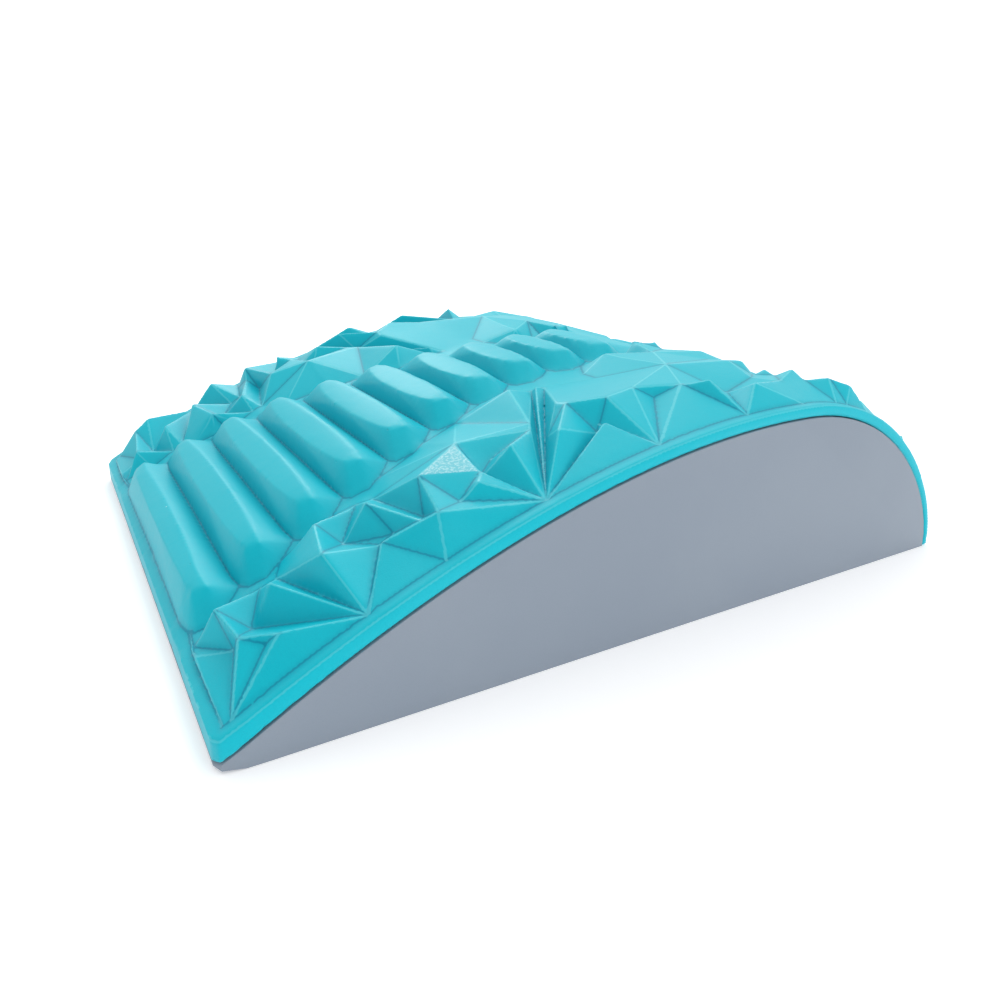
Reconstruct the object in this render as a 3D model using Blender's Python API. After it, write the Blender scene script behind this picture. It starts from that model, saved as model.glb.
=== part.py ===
"""Ab mat: an arched foam cushion for sit-ups.

Two mouldings of closed-cell foam are bonded face to face. The core is a solid block with a flat base and an
arched top. The cover is a sheet that follows the arch from end to end, a little thicker at the thin end. It
carries a row of raised cross bars in the middle and, along both sides, sharp facets that fan out from points
on a plain border.

Units are metres, +Z is up. X runs along the mat from the thin end to the steep end, Y runs across it.
The origin is under the middle of the mat, at its base.
"""

import math

import bmesh
import bpy
import numpy as np
from mathutils import Vector, geometry

MM = 0.001

# Outline of the whole mat
LENGTH = 358.5 * MM
WIDTH = 275 * MM

# Arch of the core, seen from the side
CREST_HEIGHT = 80.3 * MM
CREST_PLACE = 239 * MM
TIP_HEIGHT = 2.2 * MM
STEEP_END_BLUNTNESS = 1.45
TIP_LIFT = 1.6 * MM
TIP_LIFT_RUN = 12 * MM
TIP_CORNER_RADIUS = 4 * MM
ARCH_SAMPLES = 1500

# Cover sheet, thicker at the thin end and thinner at the foot of the steep end, and the glue film under it
COVER_THICKNESS = 5 * MM
TIP_THICKNESS = 6.6 * MM
FOOT_THICKNESS = 3.8 * MM
GLUE_FILM = 0.3 * MM

# How finely the long faces are divided: round the corners of the thin end, and everywhere else
TIP_STEP = 2 * MM
STATION_STEP = 8 * MM
LEAST_STATIONS = 4

# Border round the relief
SIDE_BORDER = 5 * MM
TIP_BORDER = 4.3 * MM
STEEP_END_BORDER = 15 * MM
BORDER_POINT_GAP = 3 * MM

# Cross bars: full height up to the crest, lower beyond it
FIRST_GROOVE = 2.3 * MM
BAR_PITCH = 24.5 * MM
BAR_HEIGHT = 9 * MM
LOW_BAR_HEIGHT = 4.5 * MM
FULL_BARS = 10
GROOVE_FLOOR = 0.5 * MM
SAME_POINT = 0.001 * MM

# Where the bars end, measured in from the side face: close to it at the thin end, far from it at the crest.
# The change starts a share of a pitch before the first groove and takes so many pitches.
BAR_END_AT_TIP = 60 * MM
BAR_END_AT_CREST = 110.5 * MM
BAR_END_START = -0.3
BAR_END_PITCHES = 9

# One bar, seen from above. Its flat top is lens-shaped: it starts and ends narrow and swells in the middle.
# Places across the bar are shares of the pitch, and places along the top are shares of its length.
TOP_LEFT, TOP_LEFT_SWELL, TOP_LEFT_SETBACK = 0.36, -0.20, 6.0 * MM
TOP_RIGHT, TOP_RIGHT_SWELL, TOP_RIGHT_SETBACK = 0.60, 0.14, 2.5 * MM
TOP_STATIONS = (0, 0.08, 0.22, 0.4, 0.6, 0.78, 0.92, 1)
SWELL_FULLNESS = 0.6
# The blunt nose at a bar's end: places across the bar, and how far each stands out from the bar's end
NOSE_PLACES = (0.10, 0.40, 0.68)
NOSE_REACHES = (4.5 * MM, 8.0 * MM, 6.0 * MM)

# The facets along one side. Each corner is (bar pitches from the first groove, share of the way from the
# border to the bars, share of the relief depth). Names in h are hubs on the border line, from which creases
# run out like spokes. The others are the peaks, pits and feet between them.
RELIEF_DEPTH = 10 * MM
CORNERS = {
    "h0": (0.20, 0, 0), "h1": (2.15, 0, 0), "h2": (3.34, 0, 0), "h3": (4.95, 0, 0), "h4": (7.00, 0, 0),
    "h5": (8.85, 0, 0), "h6": (10.20, 0, 0), "h7": (12.25, 0, 0), "h8": (13.60, 0, 0), "h9": (14.90, 0, 0),
    "f0": (0.12, 0.80, 0.05), "f0b": (0.12, 0.66, 0.25), "p1": (0.67, 0.72, 0.95), "f2": (0.59, 0.48, 0.05),
    "p2": (0.76, 0.37, 0.75), "f3": (1.00, 0.24, 0.40), "p3": (1.19, 0.20, 0.60), "f4": (0.90, 0.53, 0.05),
    "g3": (1.26, 0.81, 0.10), "p4": (1.43, 0.54, 1.00), "f5": (1.50, 0.78, 0.10), "p5": (2.16, 0.42, 1.10),
    "p9": (2.36, 0.78, 0.85), "l6": (2.51, 0.62, 0.05), "f6": (2.88, 0.40, 0.05), "p6": (2.88, 0.35, 0.35),
    "g7": (3.07, 0.83, 0.15), "p7": (3.10, 0.64, 0.80), "l7": (3.12, 0.38, 0.15), "m7": (3.46, 0.25, 0.60),
    "f8": (3.30, 0.78, 0.10), "f7": (3.60, 0.36, 0.05), "p8": (3.66, 0.19, 0.80), "p10": (3.90, 0.51, 0.95),
    "p12": (4.71, 0.56, 1.00), "p11": (4.58, 0.29, 0.75), "f9": (4.04, 0.22, 0.50), "p13": (4.39, 0.23, 0.80),
    "f10": (4.64, 0.34, 0.30), "f17": (4.96, 0.39, 0.40), "p14": (5.17, 0.29, 1.10),
    "q14": (5.83, 0.41, 0.60), "p15": (6.40, 0.77, 0.90), "q15": (5.95, 0.46, 0.60), "s1": (7.08, 0.84, 0.05),
    "s2": (7.09, 0.80, 0.40), "s3": (7.35, 0.82, 0.05), "f11": (6.02, 0.37, 0.20), "p16": (5.87, 0.22, 1.10),
    "t16": (6.53, 0.47, 0.90), "f12": (6.60, 0.23, 0.15), "p17": (6.66, 0.20, 0.65),
    "f13": (6.71, 0.25, 0.35), "t13": (6.56, 0.41, 1.00), "p18": (7.06, 0.30, 1.10),
    "p19": (7.67, 0.32, 1.00), "f14": (7.94, 0.27, 0.50), "p20": (8.49, 0.26, 0.80),
    "p21": (8.80, 0.19, 1.05), "f16": (9.40, 0.22, 0.15), "p22": (9.50, 0.11, 0.80),
    "p23": (10.35, 0.15, 0.60), "u0": (8.33, 0.82, 0.10), "u1": (8.30, 0.72, 0.15), "u2": (9.05, 0.88, 0.70),
    "u3": (9.05, 0.74, 0.75), "u4": (9.12, 0.50, 0.90), "u5": (9.75, 0.74, 0.85), "u6": (10.42, 0.44, 0.90),
    "b6": (10.25, 0.27, 0.50), "k0": (9.97, 0.94, 1.00), "k1": (10.42, 0.90, 1.00), "k2": (10.43, 0.84, 0.70),
    "k3": (10.81, 0.69, 0.90), "k4": (10.55, 0.58, 0.66), "k5": (10.76, 0.44, 0.90),
    "k6": (10.67, 0.35, 0.40), "k7": (10.90, 0.34, 0.72), "k8": (10.90, 0.28, 0.54),
    "k9": (11.10, 0.24, 0.98), "k10": (11.10, 0.17, 0.62), "k11": (11.45, 0.12, 0.97),
    "k12": (11.75, 0.06, 0.90), "c6": (11.15, 0.42, 0.22), "d6": (12.20, 0.60, 0.30),
    "c8": (11.40, 0.36, 0.40), "c10": (11.40, 0.22, 0.50), "a1": (12.60, 0.34, 0.25),
    "a2": (12.90, 0.16, 0.90), "a3": (12.30, 0.72, 0.70), "a4": (13.50, 0.38, 0.90),
    "a5": (13.90, 0.30, 0.20), "a6": (13.30, 0.78, 0.25), "a7": (14.30, 0.18, 0.90),
    "a8": (14.50, 0.58, 0.85), "a9": (15.05, 0.36, 0.20), "a10": (15.40, 0.44, 0.80),
    "a11": (14.90, 0.80, 0.30), "a12": (15.55, 0.14, 0.70), "a13": (13.95, 0.05, 0.79),
}
CREASES = (
    "h0 f0b", "h0 f2", "h0 p2", "h0 f3", "h0 p3", "h1 p3", "h1 f4", "h1 p4", "h1 f5", "h1 p5", "h1 f6",
    "h1 p6", "h2 p6", "h2 p8", "h3 p8", "h3 f9", "h3 p13", "h3 f10", "h3 p14", "h3 s1", "h3 s2", "h3 s3",
    "h3 p16", "h3 f12", "h3 p17", "h4 p17", "h4 f13", "h4 p18", "h4 p19", "h4 f14", "h4 p20", "h5 p20",
    "h5 p21", "h5 f16", "h5 p22", "h6 p22", "h6 p23", "h6 k10", "h7 k12", "h7 a1", "h7 a2", "h8 a2", "h8 a4",
    "h8 a5", "h8 a7", "h8 a13 h9", "h9 a7", "h9 a9", "h9 a12", "f0 p1 p2", "f0 f2", "f0b f2", "p1 g3 f4",
    "f4 p2", "p2 p3", "f4 p4 f5 p5", "p5 f6", "p5 l6 l7 p6", "p9 l6 g7 p7 m7", "p9 p5", "l7 m7", "f8 f7 m7",
    "f8 p10 p8 f7", "f8 p12 p11 p10", "p11 p13", "p8 f9", "f9 p13", "p11 f10 f17 p14", "p14 q14", "p15 q15",
    "f11 p16", "f11 t16", "t16 t13 p18", "t13 f13", "p16 f12", "p16 t13", "p18 p19 p20 p21", "p20 u4 u5",
    "u0 u1 u2 u3 u1", "p21 f16 p22 p23 k9", "f16 b6 k6", "k7 k8 k9 k10 k11 k12", "u5 k0 k1 k2 k3",
    "u5 k3 k4 k5 k6 k7", "u6 k5", "k6 c6 d6", "k8 c8", "k10 c10", "a3 a1 a2", "a3 a4 a5 a7", "a6 a4", "a8 a7",
    "a8 a9 a12", "a8 a10 a12", "a11 a10",
)
NEAR_CREASES = ("p6 p8",)
# On the far side some corners stand elsewhere, and it has peaks and creases of its own.
FAR_CORNERS = {
    "p2": (0.84, 0.14, 0.93), "f3": (1.02, 0.10, 0.90), "p3": (1.21, 0.09, 1.05), "p6": (2.78, 0.07, 0.99),
    "x2": (3.27, 0.15, 0.15), "p8": (3.61, 0.14, 1.05), "f9": (4.08, 0.26, 0.30), "p13": (4.34, 0.19, 1.00),
    "p14": (5.21, 0.31, 1.00), "x16": (6.33, 0.09, 0.98), "p17": (6.72, 0.22, 0.35),
    "x19": (7.72, 0.10, 0.92), "p19": (7.75, 0.34, 0.80), "f14": (7.95, 0.32, 0.60),
    "p20": (8.75, 0.32, 0.55), "k0": (9.97, 0.94, 0.80), "k1": (10.42, 0.90, 0.75), "k2": (10.43, 0.84, 0.60),
    "p21": (8.87, 0.19, 1.05), "f16": (9.40, 0.17, 0.10), "p22": (9.55, 0.10, 0.10),
    "u6": (10.42, 0.44, 0.60), "b6": (10.25, 0.27, 0.45), "k3": (10.81, 0.69, 0.60),
    "k5": (10.76, 0.44, 0.50), "k7": (10.90, 0.34, 0.40), "k8": (11.05, 0.28, 0.50),
    "k9": (11.10, 0.24, 0.50), "k10": (10.95, 0.19, 0.22), "k11": (11.45, 0.12, 0.50),
    "k12": (11.75, 0.06, 0.50),
}
FAR_CREASES = ("h2 x2", "h3 x16 h4", "h4 x19 h5")

FOAM_GREY = (0.27, 0.31, 0.36)
FOAM_GREY_ROUGHNESS = 0.75
FOAM_TURQUOISE = (0.05, 0.42, 0.50)
FOAM_TURQUOISE_ROUGHNESS = 0.55


def clear_scene():
    """Remove whatever the file holds."""
    for item in list(bpy.data.objects):
        bpy.data.objects.remove(item, do_unlink=True)


def foam(name, colour, roughness):
    """A plain foam material."""
    material = bpy.data.materials.new(name)
    material.use_nodes = True
    shader = material.node_tree.nodes["Principled BSDF"]
    shader.inputs["Base Color"].default_value = (*colour, 1)
    shader.inputs["Roughness"].default_value = roughness
    return material


def core_length():
    """Length of the core: the cover and its glue film stand in front of its steep end."""
    return LENGTH - FOOT_THICKNESS - GLUE_FILM


def past_crest(x):
    """How far x is from the crest to the core's steep end, as a share from 0 to 1."""
    return min(max((x - CREST_PLACE) / (core_length() - CREST_PLACE), 0), 1)


def cover_thickness(x):
    """Thickness of the cover sheet above the core at x from the tip."""
    before_crest = max(1 - x / CREST_PLACE, 0)
    added = (TIP_THICKNESS - COVER_THICKNESS) * before_crest ** 2
    return COVER_THICKNESS + added - (COVER_THICKNESS - FOOT_THICKNESS) * past_crest(x) ** 2


def core_height(x):
    """Height of the core's top at x from the tip: a parabola up to the crest, then a blunt fall."""
    if x < CREST_PLACE:
        away = 1 - x / CREST_PLACE
        return TIP_HEIGHT + (CREST_HEIGHT - TIP_HEIGHT) * (1 - away ** 2)
    return CREST_HEIGHT * (1 - past_crest(x) ** 2) ** (1 / STEEP_END_BLUNTNESS)


def base_height(x):
    """Height of the core's underside: flat, with the thin end eased up off the floor."""
    away = max(1 - x / TIP_LIFT_RUN, 0)
    return TIP_LIFT * away ** 2


class Arch:
    """A curve that follows the core's top at a distance, measured by its arc length from the tip plane."""

    def __init__(self, distance):
        rise = np.linspace(0, CREST_PLACE, ARCH_SAMPLES)[:-1]
        quarter = np.sin(np.linspace(0, math.pi / 2, ARCH_SAMPLES))
        along = np.concatenate([rise, CREST_PLACE + (core_length() - CREST_PLACE) * quarter])
        line = np.array([(x, core_height(x)) for x in along])
        slope = np.gradient(line, axis=0)
        normal = np.stack([-slope[:, 1], slope[:, 0]], axis=1) / np.hypot(*slope.T)[:, None]
        normal[-1] = (1, 0)
        curve = line + normal * np.array([[distance(x)] for x in along])
        first = int(np.argmax(curve[:, 0] >= 0))
        if first:
            before, after = curve[first - 1], curve[first]
            curve[first - 1] = after + (before - after) * after[0] / (after[0] - before[0])
            first -= 1
        self.curve = curve[first:]
        self.normal = normal[first:]
        steps = np.hypot(*np.diff(self.curve, axis=0).T)
        self.arc = np.concatenate([[0], np.cumsum(steps)])
        self.length = self.arc[-1]

    def point(self, s, y, height=0.0):
        """The point at arc length s, y across from the near side and a height off the curve."""
        x = np.interp(s, self.arc, self.curve[:, 0] + self.normal[:, 0] * height)
        z = np.interp(s, self.arc, self.curve[:, 1] + self.normal[:, 1] * height)
        return Vector((x - LENGTH / 2, y - WIDTH / 2, max(z, 0)))

    def x(self, s):
        """Distance from the tip at arc length s."""
        return float(np.interp(s, self.arc, self.curve[:, 0]))


def corner_inset(x):
    """How far the side faces draw in near the tip, where the corners are rounded in plan."""
    away = max(TIP_CORNER_RADIUS - x, 0)
    return TIP_CORNER_RADIUS - math.sqrt(TIP_CORNER_RADIUS ** 2 - away ** 2)


def across(y, far):
    """A distance in from one side face as a place across the mat."""
    return WIDTH - y if far else y


def station_shares(length):
    """Shares of the arc at which the long faces are divided: fine round the tip's corners, then even."""
    fine = np.arange(0, TIP_CORNER_RADIUS, TIP_STEP)
    count = max(round((length - fine[-1]) / STATION_STEP), LEAST_STATIONS)
    even = np.linspace(fine[-1], length, count + 1)[1:]
    return np.concatenate([fine, even]) / length


def arc_place(pitches):
    """Arc length at so many bar pitches from the first groove."""
    return FIRST_GROOVE + pitches * BAR_PITCH


def bar_end(pitches):
    """Distance from the side face to the end of the bars at so many pitches."""
    t = min(max((pitches - BAR_END_START) / BAR_END_PITCHES, 0), 1)
    ease = t * t * (3 - 2 * t)
    return BAR_END_AT_TIP + (BAR_END_AT_CREST - BAR_END_AT_TIP) * ease


class Relief:
    """The relief laid out flat: points at arc length, place across and height, joined by creases."""

    def __init__(self, arch, shares):
        self.points = []
        self.creases = []
        self.bars = max(int((arch.length - STEEP_END_BORDER - FIRST_GROOVE) / BAR_PITCH), 1)
        self.rims = [self.add_rim(arch, shares, far) for far in (False, True)]
        self.add_borders(arch, shares)
        for number in range(self.bars):
            self.add_bar(number)
        self.add_facets(CORNERS, CREASES + NEAR_CREASES, False)
        self.add_facets({**CORNERS, **FAR_CORNERS}, CREASES + FAR_CREASES, True)

    def add(self, s, y, height):
        """Add a point and return its number."""
        self.points.append((s, y, height))
        return len(self.points) - 1

    def crease(self, numbers):
        """Join points in a chain."""
        self.creases.extend(zip(numbers[:-1], numbers[1:]))

    def add_rim(self, arch, shares, far):
        """The edge of the cover along one side."""
        rim = [self.add(s, across(corner_inset(arch.x(s)), far), 0) for s in shares * arch.length]
        self.crease(rim)
        return rim

    def add_borders(self, arch, shares):
        """The ends of the cover and the line inside its border, with a point at each hub."""
        for end in (0, -1):
            self.crease([self.rims[0][end], self.rims[1][end]])
        first, last = TIP_BORDER, arc_place(self.bars)
        hubs = [arc_place(u) for u, share, _ in CORNERS.values() if share == 0 and u < self.bars]
        between = [s for s in shares * arch.length if first + BORDER_POINT_GAP < s < last - BORDER_POINT_GAP]
        clear = [s for s in between if min(abs(s - hub) for hub in hubs) > BORDER_POINT_GAP]
        line = sorted([first, last, *hubs, *clear])
        borders = [[self.add(s, across(SIDE_BORDER, far), 0) for s in line] for far in (False, True)]
        for border in borders:
            self.crease(border)
        for end in (0, -1):
            self.crease([borders[0][end], borders[1][end]])

    def add_bar(self, number):
        """One cross bar: a flat lens-shaped top, sloping walls and a blunt nose at each end."""
        left, right = max(arc_place(number), TIP_BORDER), arc_place(number + 1)
        height = BAR_HEIGHT if number < FULL_BARS else LOW_BAR_HEIGHT
        feet = []
        for far in (False, True):
            foot = [self.add(left, across(bar_end(number), far), GROOVE_FLOOR)]
            for place, reach in zip(NOSE_PLACES, NOSE_REACHES):
                tip = bar_end(number + place) - reach
                foot.append(self.add(left + (right - left) * place, across(tip, far), GROOVE_FLOOR))
            foot.append(self.add(right, across(bar_end(number + 1), far), GROOVE_FLOOR))
            self.crease(foot)
            feet.append(foot)
        tops = []
        for place, swell, setback in ((TOP_LEFT, TOP_LEFT_SWELL, TOP_LEFT_SETBACK),
                                      (TOP_RIGHT, TOP_RIGHT_SWELL, TOP_RIGHT_SETBACK)):
            start = bar_end(number + place) + setback
            top = []
            for t in TOP_STATIONS:
                s = left + (right - left) * (place + swell * math.sin(math.pi * t) ** SWELL_FULLNESS)
                top.append(self.add(s, start + (WIDTH - 2 * start) * t, height))
            self.crease(top)
            tops.append(top)
        for end in (0, -1):
            self.crease([feet[0][end], feet[1][end]])
            self.crease([feet[end][1], tops[0][end], tops[1][end], feet[end][2]])

    def add_facets(self, corners, creases, far):
        """The facets between the border and the bars on one side. What lies past the last bar is left out."""
        numbers = {}
        for name, (pitches, share, height) in corners.items():
            if pitches < self.bars:
                y = SIDE_BORDER + (bar_end(pitches) - SIDE_BORDER) * share
                numbers[name] = self.add(arc_place(pitches), across(y, far), height * RELIEF_DEPTH)
        for chain in creases:
            names = chain.split()
            for pair in zip(names[:-1], names[1:]):
                if numbers.keys() >= set(pair):
                    self.crease([numbers[name] for name in pair])


def build_cover(material):
    """The cover: the relief mapped onto the arch, a smooth underside and walls between their edges."""
    outer = Arch(lambda x: GLUE_FILM + cover_thickness(x))
    inner = Arch(lambda x: GLUE_FILM)
    shares = station_shares(outer.length)
    relief = Relief(outer, shares)
    flat = [Vector((s, y)) for s, y, _ in relief.points]
    places, _, faces, sources, _, _ = geometry.delaunay_2d_cdt(flat, relief.creases, [], 1, SAME_POINT)
    mesh = bmesh.new()
    top = []
    number_of = {}
    for index, (place, from_points) in enumerate(zip(places, sources)):
        if from_points:
            s, y, height = relief.points[from_points[0]]
            for number in from_points:
                number_of[number] = index
        else:
            s, y, height = place.x, place.y, GROOVE_FLOOR
            print("crossing creases at %.2f pitches, y %.1f mm" % ((s - FIRST_GROOVE) / BAR_PITCH, y / MM))
        top.append(mesh.verts.new(outer.point(s, y, height)))
    for face in faces:
        mesh.faces.new([top[index] for index in face])
    lower = []
    for far in (False, True):
        row = []
        for share in shares:
            y = corner_inset(outer.x(share * outer.length))
            row.append(mesh.verts.new(inner.point(share * inner.length, across(y, far))))
        lower.append(row)
    upper = [[top[number_of[number]] for number in rim] for rim in relief.rims]
    for k in range(len(shares) - 1):
        mesh.faces.new((lower[0][k], lower[1][k], lower[1][k + 1], lower[0][k + 1]))
        mesh.faces.new((upper[0][k], lower[0][k], lower[0][k + 1], upper[0][k + 1]))
        mesh.faces.new((upper[1][k + 1], lower[1][k + 1], lower[1][k], upper[1][k]))
    mesh.faces.new((upper[0][0], upper[1][0], lower[1][0], lower[0][0]))
    mesh.faces.new((upper[1][-1], upper[0][-1], lower[0][-1], lower[1][-1]))
    return finish("relief_cover", mesh, material)


def build_core(material):
    """The core: slices from the tip to the steep end, each with a top edge and a bottom edge."""
    arch = Arch(lambda x: 0)
    shares = station_shares(arch.length)
    mesh = bmesh.new()
    tops, bases = [], []
    for share in shares:
        s = share * arch.length
        x = arch.x(s)
        row = [arch.point(s, across(corner_inset(x), far)) for far in (False, True)]
        tops.append([mesh.verts.new(point) for point in row])
        if share < 1:
            bases.append([mesh.verts.new((point.x, point.y, base_height(x))) for point in row])
    bases.append(tops[-1])
    for k in range(len(shares) - 1):
        near_top, far_top = tops[k]
        near_base, far_base = bases[k]
        next_near_top, next_far_top = tops[k + 1]
        next_near_base, next_far_base = bases[k + 1]
        mesh.faces.new((near_top, next_near_top, next_far_top, far_top))
        mesh.faces.new((near_base, far_base, next_far_base, next_near_base))
        near = [near_top, near_base, next_near_base]
        far = [next_far_base, far_base, far_top]
        if next_near_top is not next_near_base:
            near.append(next_near_top)
            far.append(next_far_top)
        mesh.faces.new(near)
        mesh.faces.new(far)
    mesh.faces.new((*tops[0], *reversed(bases[0])))
    return finish("foam_core", mesh, material)


def finish(name, mesh, material):
    """Turn a mesh into a named object with its faces pointing out."""
    bmesh.ops.triangulate(mesh, faces=mesh.faces[:])
    bmesh.ops.recalc_face_normals(mesh, faces=mesh.faces[:])
    data = bpy.data.meshes.new(name)
    mesh.to_mesh(data)
    mesh.free()
    data.materials.append(material)
    item = bpy.data.objects.new(name, data)
    bpy.context.scene.collection.objects.link(item)
    print(name, len(data.polygons), "triangles")
    return item


def main():
    """Build the mat."""
    clear_scene()
    build_core(foam("grey_foam", FOAM_GREY, FOAM_GREY_ROUGHNESS))
    build_cover(foam("turquoise_foam", FOAM_TURQUOISE, FOAM_TURQUOISE_ROUGHNESS))


if __name__ == "__main__":
    main()
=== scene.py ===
"""Dresses an ab mat: a grey foam core under a turquoise cover of moulded foam.

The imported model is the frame. Both foam pieces are copied from it. The core gets rounded edges. The cover is
divided finely along its edges and softened by a Geometry Nodes tree, as a mould softens foam. Both get
finishes made of shader nodes. A camera at the photograph's angle, a pale floor, pale light all round and soft
lamps complete the scene. Lengths are in metres.
"""

import logging
import math
from dataclasses import dataclass
from enum import Enum

import bmesh
import bpy
from mathutils import Matrix, Vector
from mathutils.geometry import closest_point_on_tri
from mathutils.kdtree import KDTree


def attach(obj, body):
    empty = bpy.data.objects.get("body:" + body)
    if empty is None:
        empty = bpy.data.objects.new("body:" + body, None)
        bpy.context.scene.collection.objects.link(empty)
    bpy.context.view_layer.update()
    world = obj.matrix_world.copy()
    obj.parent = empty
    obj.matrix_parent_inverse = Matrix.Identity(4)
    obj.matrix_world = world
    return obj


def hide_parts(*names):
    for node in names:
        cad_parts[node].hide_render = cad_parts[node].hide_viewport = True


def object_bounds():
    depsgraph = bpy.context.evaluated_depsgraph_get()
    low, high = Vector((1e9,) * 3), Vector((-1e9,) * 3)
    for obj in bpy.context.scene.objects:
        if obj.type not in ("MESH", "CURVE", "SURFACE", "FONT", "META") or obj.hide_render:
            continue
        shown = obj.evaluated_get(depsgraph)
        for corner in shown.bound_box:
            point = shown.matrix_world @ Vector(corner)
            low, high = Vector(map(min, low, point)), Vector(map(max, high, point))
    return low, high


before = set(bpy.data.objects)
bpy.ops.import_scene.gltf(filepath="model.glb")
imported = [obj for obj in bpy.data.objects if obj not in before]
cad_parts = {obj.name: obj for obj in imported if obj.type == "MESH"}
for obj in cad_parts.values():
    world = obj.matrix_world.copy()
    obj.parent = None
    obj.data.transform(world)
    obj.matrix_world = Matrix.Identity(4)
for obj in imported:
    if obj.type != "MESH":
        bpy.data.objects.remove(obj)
CAD_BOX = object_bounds()

MM = 0.001

# The plain border, measured in from a side face and along from the thin end
SIDE_BORDER = 5 * MM
THIN_END_BORDER = 3.6 * MM

# The line of the bars' noses, measured in from a side face, and how far along it reaches its last value
NOSES_IN_AT_THIN_END = 52 * MM
NOSES_IN_AT_CREST = 102 * MM
NOSE_LINE_RUN = 200 * MM

# One place on each facet that carries a painted glint, a pale grainy highlight, and the name of the mark on
# such facets
GLINT_PLACES = ((-85.5 * MM, -95.0 * MM, 67.4 * MM),)
GLINT_MARK = "rubbed_mark"

log = logging.getLogger("ab_mat")


class Slot(Enum):
    """The record's material slots."""

    GREY_FOAM = "grey_foam"
    TURQUOISE_FOAM = "turquoise_foam"


class Line(Enum):
    """The lines that a mould leaves on the cover. Each value also names the way to the nearest such line."""

    RIDGE = "ridge"
    CREASE = "crease"
    GROOVE = "groove"
    BAR_EDGE = "bar_edge"

    @property
    def mark(self) -> str:
        """The name of the mark on the line's edges."""
        return self.value + "_mark"


class Zone(Enum):
    """Where the cover is softened or finished in its own way. Each value also names a share from 0 to 1."""

    BARS = "bars"
    NOSES = "noses"
    # Facets that carry a painted glint
    GLINT_FACETS = "rubbed"


class LampPlace(Enum):
    """Where a studio lamp stands."""

    WINDOW = "window"
    FILL = "fill"
    TOP = "top"


class Value:
    """A node's output, used as a number in Python expressions."""

    def __init__(self, tree: "Tree", socket: bpy.types.NodeSocket) -> None:
        """Keep the tree and the socket.

        Args:
            tree: the tree that the socket belongs to.
            socket: an output socket.
        """
        self.tree = tree
        self.socket = socket

    def __add__(self, other: "Value | float") -> "Value":
        """self + other."""
        return self.tree.math("ADD", self, other)

    def __radd__(self, other: float) -> "Value":
        """other + self."""
        return self.tree.math("ADD", other, self)

    def __sub__(self, other: "Value | float") -> "Value":
        """self - other."""
        return self.tree.math("SUBTRACT", self, other)

    def __rsub__(self, other: float) -> "Value":
        """other - self."""
        return self.tree.math("SUBTRACT", other, self)

    def __mul__(self, other: "Value | float") -> "Value":
        """self * other."""
        return self.tree.math("MULTIPLY", self, other)

    def __rmul__(self, other: float) -> "Value":
        """other * self."""
        return self.tree.math("MULTIPLY", other, self)

    def __truediv__(self, other: "Value | float") -> "Value":
        """self / other."""
        return self.tree.math("DIVIDE", self, other)

    def __neg__(self) -> "Value":
        """-self."""
        return self.tree.math("MULTIPLY", self, -1)

    def __abs__(self) -> "Value":
        """abs(self)."""
        return self.tree.math("ABSOLUTE", self)

    def ease(self, low: float, high: float) -> "Value":
        """A smooth step.

        Args:
            low: where the step starts, at 0.
            high: where the step ends, at 1. It may be less than low.

        Returns:
            0 before low, 1 past high and a smooth rise between them.
        """
        settings = {"interpolation_type": "SMOOTHSTEP"}
        sockets = {"Value": self, "From Min": low, "From Max": high}
        return self.tree.value("ShaderNodeMapRange", settings, sockets, "Result")


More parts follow.
